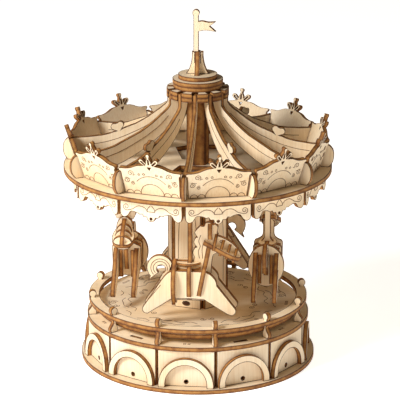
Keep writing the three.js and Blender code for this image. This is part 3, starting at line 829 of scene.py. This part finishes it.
# ---- Valance ----
# Twelve scalloped plywood boards hanging under the canopy's rim. Each has a small hole in its
# pendant and is engraved with scrolls round an onion shape.
VALANCE_CORNER_RADIUS = 72
VALANCE_HALF = 17.75
valance_distance = VALANCE_CORNER_RADIUS * math.cos(math.radians(HALF_SECTOR))
valance_outline = mirrored([
    (0, -11.4),
    *smooth([(1.2, -11.2), (2.1, -10.1), (2.6, -9), (4.2, -8.9), (5.2, -7.6)], 4),
    *smooth([(6.6, -7.9), (8.6, -6.9), (11.4, -6.6), (12.6, -8)], 4),
    *smooth([(13.4, -9.2), (15.4, -10.2), (17.2, -9.2), (VALANCE_HALF, -7.4)], 4),
    (VALANCE_HALF, 0),
])
valance_right = [
    spiral(14.2, -4.2, 2.0, 250, 1.5, tail=(10.6, -5.2)),
    smooth([(10.6, -5.2), (7.4, -3.2), (4, -3.6), (1.9, -5.6)]),
    smooth([(2.2, -5.8), (1.9, -4.2), (0.2, -2.2)]),
]
valance_lines = valance_right + [[(-x, y) for x, y in line] for line in valance_right]
valance_lines.append([(-2.2, -5.8), (2.2, -5.8)])
pendant_hole = circle(0.6, 10, 0, -9.7)
for index in range(SECTORS):
    number = f"{index + 1:02d}"
    place = facing_at(HALF_SECTOR + SECTOR_ANGLE * index, valance_distance - PLY, canopy_bottom)
    board = cut_sheet([valance_outline, pendant_hole])
    set_in_place(f"valance_board_{number}", board, place, "carousel", UPRIGHT_SHEET, ["valance"])
    engraving(f"valance_scrolls_{number}", valance_lines, place, "carousel")


# ---- Crown boards ----
# Twelve plywood boards that lean outwards on the canopy, engraved with arcs and scrolls. Each is
# topped by a finial of two slit side leaves and a slit middle leaf with a neck and a ball.
CROWN_LEAN = 18
CROWN_FOOT = 66.65
CROWN_LIFT = 0.3
FINIAL_ROOT = 16.9
LEAF_ANGLE = 44
LEAF_LENGTH = 7.3
LEAF_HALF = 1.25
LEAF_START = 3.4
LEAF_NARROWING = 0.8
BALL_HEIGHT = 7.9
BALL_RADIUS = 1.05


def leaf_point(angle, along, side):
    """A point of a finial leaf, given along the leaf and beside its middle line."""
    turn = math.radians(angle)
    return (
        along * math.sin(turn) + side * math.cos(turn),
        FINIAL_ROOT + along * math.cos(turn) - side * math.sin(turn),
    )


def finial_half():
    """The right-hand half of the finial: a side leaf, then half of the middle leaf with its neck and ball."""
    tip = LEAF_LENGTH - LEAF_HALF
    neck = ((3.2, 1.45), (4.4, 1.4), (5.4, 0.95), (6.2, 0.55))
    foot_half = LEAF_HALF * LEAF_NARROWING
    points = [leaf_point(LEAF_ANGLE, LEAF_START, foot_half), leaf_point(LEAF_ANGLE, tip - 1, LEAF_HALF)]
    for along, side in arc(tip, 0, LEAF_HALF, 80, -80, 8):
        points.append(leaf_point(LEAF_ANGLE, along, side))
    points.append(leaf_point(LEAF_ANGLE, LEAF_START, -foot_half))
    points += [leaf_point(0, along, side) for along, side in neck]
    points += [(x, FINIAL_ROOT + y) for x, y in arc(0, BALL_HEIGHT, BALL_RADIUS, -55, 90, 8)]
    return points


def leaf_slit(angle, near, far, half):
    """The narrow slit along a leaf."""
    sides = ((near, half), (far - half, half), (far, 0), (far - half, -half), (near, -half))
    return [leaf_point(angle, along, side) for along, side in sides]


crown_right = [
    (15.6, 0),
    (16.5, 12.4),
    *smooth([(16.6, 13.4), (17.5, 14.2), (17.5, 15.3), (16.2, 15.6)], 4),
    *smooth([(14, 15.6), (11, 16.2), (7.6, 17.7), (5.4, 18.3), (4.2, 18.4)], 4),
    *finial_half(),
]
crown_outline = mirrored(crown_right)
leaf_slits = [leaf_slit(LEAF_ANGLE * side, 2.9, 6.2, 0.34) for side in (-1, 1)]
leaf_slits.append(leaf_slit(0, 2.5, 5.6, 0.36))
root_hole = [(0, 15.9), (0.5, 16.6), (1.0, 17.6), (-1.0, 17.6), (-0.5, 16.6)]
crown_right_lines = [
    arc(8.6, 0.3, 1.95, 0, 180, 10),
    arc(12.7, 0.3, 1.95, 0, 180, 10),
    spiral(11.2, 12.9, 1.85, 230, -1.5, tail=(8.6, 12.2)),
    spiral(13.9, 8.2, 1.8, 60, 1.6, tail=(11.6, 9.4)),
    spiral(10.3, 6.6, 1.25, 120, -1.4),
    arc(3.6, 12.9, 0.6, 0, 360, 8),
    arc(6.4, 12.5, 0.6, 0, 360, 8),
]
crown_lines = crown_right_lines + [[(-x, y) for x, y in line] for line in crown_right_lines]
crown_lines.append(arc(0, 0.3, 6.6, 0, 180, 26))
crown_lines.append(arc(0, 1.4, 10.4, 38, 142, 24))
for index in range(SECTORS):
    number = f"{index + 1:02d}"
    azimuth = HALF_SECTOR + SECTOR_ANGLE * index
    place = facing_at(azimuth, CROWN_FOOT, canopy_top + CROWN_LIFT, CROWN_LEAN)
    place = place @ Matrix.Translation((0, 0, -PLY * MM))
    board = cut_sheet([crown_outline, root_hole, *leaf_slits], margin=FINE_SOOT_MARGIN)
    set_in_place(f"crown_{number}", board, place, "carousel", UPRIGHT_SHEET, [f"crown_board_{number}"])
    engraving(f"crown_scrolls_{number}", crown_lines, place, "carousel")


# ---- Roof ribs ----
# Twelve radial plywood sheets that carry the tent line of the roof. Every second one has a heart
# standing on it behind the crown. All have a round end outside the crown and a tongue through the
# canopy plate.
RIB_THICKNESS = 2.1
RIB_TOP = top_of("hub_upper") - 1.1
HEART_AT = (45.1, 132.9)
HEART_LEAN = -21


def heart_outline():
    """A heart whose tip is sunk in the rib, from its outer foot over both lobes to its inner foot."""
    lean = math.radians(HEART_LEAN)
    lobes = [(1.6, -2.6), *arc(1.85, 0, 2.0, -35, 128, 12), *arc(-1.85, 0, 2.0, 52, 215, 12), (-1.6, -2.6)]
    return [
        (
            HEART_AT[0] + x * math.cos(lean) - y * math.sin(lean),
            HEART_AT[1] + x * math.sin(lean) + y * math.cos(lean),
        )
        for x, y in lobes
    ]


def rib_outline(heart):
    """A rib's outline, with its x outwards from the axis. The heart's points are empty on a plain rib."""
    inner_curve = [
        (11.8, 146), (14.4, 141), (20, 134), (26.5, 128.7),
        (33.2, 124.5), (41.5, 120.2), (50, 117), (59, 115),
    ]
    return [
        (10.7, RIB_TOP),
        (10.7, 150),
        *smooth(inner_curve),
        (60.5, canopy_top),
        (66, canopy_top), (66, 103), (69.3, 103), (69.3, canopy_top), (73.2, canopy_top),
        *smooth([(74.2, 113.4), (75.6, 115.8), (76.1, 119), (75.6, 122.4), (73.6, 125), (71.6, 125.3)]),
        (63, 126),
        *smooth([(54.5, 127.2), (50, 128.3), (47.4, 129.4)]),
        *heart,
        (41.6, 131.8),
        *smooth([(35, 134.5), (28.5, 138.4), (21.8, 143.4), (18.4, 146.2), (16.9, 148.2)]),
        (16.9, RIB_TOP),
    ]


rib_line = smooth([
    (18.2, 142), (23, 137.4), (29.6, 133), (36.5, 129.4), (45, 125.6), (54, 122.9), (62.5, 121.6),
])
for index in range(SECTORS):
    number = f"{index + 1:02d}"
    centring = Matrix.Translation((0, 0, (PLY - RIB_THICKNESS) / 2 * MM))
    place = spoke_sheet_at(SECTOR_ANGLE * index) @ centring
    rib = cut_sheet([rib_outline(heart_outline() if index % 2 == 1 else [])], RIB_THICKNESS)
    set_in_place(f"rib_{number}", rib, place, "carousel", UPRIGHT_SHEET, [f"roof_rib_{number}"])
    engraving(f"rib_line_front_{number}", [rib_line], place, "carousel", level=RIB_THICKNESS)
    engraving(f"rib_line_back_{number}", [rib_line], place, "carousel", level=0)


# ---- Hub ----
# Two toothed plywood discs grip the ribs' inner ends in their slots. Three plain plywood discs lie
# on them and close the top, the last of them the smallest.
HUB_RADIUS = 17.3
HUB_SLOT_FLOOR = 10.3
HUB_HALF_SLOT = 1.55


def hub_outline():
    """A disc with a slot for each rib."""
    rim_angle = math.degrees(math.asin(HUB_HALF_SLOT / HUB_RADIUS))
    points = []
    for index in range(SECTORS):
        middle = math.radians(SECTOR_ANGLE * index)
        for side in (-HUB_HALF_SLOT, HUB_HALF_SLOT):
            points.append((
                HUB_SLOT_FLOOR * math.cos(middle) - side * math.sin(middle),
                HUB_SLOT_FLOOR * math.sin(middle) + side * math.cos(middle),
            ))
        start = SECTOR_ANGLE * index
        points += arc(0, 0, HUB_RADIUS, start + rim_angle, start + SECTOR_ANGLE - rim_angle, 6)
    return points


for node, label in (("hub_lower", "hub_lower_toothed"), ("hub_upper", "hub_upper_toothed")):
    set_in_place(label, cut_sheet([hub_outline()]), lying_at(bottom_of(node)), "carousel", FLAT_SHEET, [node])
for node in ("collar_disc", "step_disc", "cap_disc"):
    plain = cut_sheet([circle(radius_of(node), 72)])
    set_in_place(f"{node}_round", plain, lying_at(bottom_of(node)), "carousel", FLAT_SHEET, [node])


# ---- Spire ----
# Two flared plywood fins that stand crosswise on the top disc. Each is slotted to half its height,
# one from above and one from below, and they lap into each other.
spire_bottom = bottom_of("spire_side_fin")
spire_height = top_of("spire_side_fin") - spire_bottom
LAP_HALF = 1.55
flare = smooth([(6.4, 0), (4.9, 2.4), (3.7, 5.8), (3.1, 9.5), (3.1, spire_height)])
flare_left = [(-x, y) for x, y in reversed(flare)]
lap = spire_height / 2
side_fin = [
    *flare,
    (LAP_HALF, spire_height), (LAP_HALF, lap), (-LAP_HALF, lap), (-LAP_HALF, spire_height),
    *flare_left,
]
front_fin = [(LAP_HALF, 0), *flare, *flare_left, (-LAP_HALF, 0), (-LAP_HALF, lap), (LAP_HALF, lap)]
for name, azimuth, outline in (("spire_side_fin", 90, side_fin), ("spire_front_fin", 0, front_fin)):
    place = spoke_sheet_at(azimuth, spire_bottom)
    set_in_place(f"{name}_sheet", cut_sheet([outline]), place, "carousel", UPRIGHT_SHEET, [name])


# ---- Flag ----
# A flat pole with a ball top and a swallow-tailed pennant, cut from plywood in one piece. It stands
# on top of the spire, a little to the left of its middle.
FLAG_OFFSET = -0.9
FLAG_POLE_HALF = 1.35
FLAG_BALL_RADIUS = 1.9
flag_bottom = bottom_of("flag")
flag_top = top_of("flag")
flag_outline = [
    (-FLAG_POLE_HALF, flag_bottom), (FLAG_POLE_HALF, flag_bottom), (FLAG_POLE_HALF, 187.9),
    *smooth([(1.6, 188.0), (4.4, 188.5), (7.8, 188.4), (11, 187.9)], 4),
    (7.4, 190.9),
    *smooth([(10.8, 193.4), (6.8, 193.1), (3.6, 193.7), (1.36, 193.4)], 4),
    (FLAG_POLE_HALF, 196.4),
    *arc(0, flag_top - FLAG_BALL_RADIUS, FLAG_BALL_RADIUS, -40, 220, 20),
    (-FLAG_POLE_HALF, 196.4),
]
flag_place = Matrix.Translation((FLAG_OFFSET * MM, PLY / 2 * MM, 0)) @ ALONG_SPOKE
flag = cut_sheet([flag_outline], margin=FINE_SOOT_MARGIN)
set_in_place("flag_sheet", flag, flag_place, "carousel", UPRIGHT_SHEET, ["flag"])
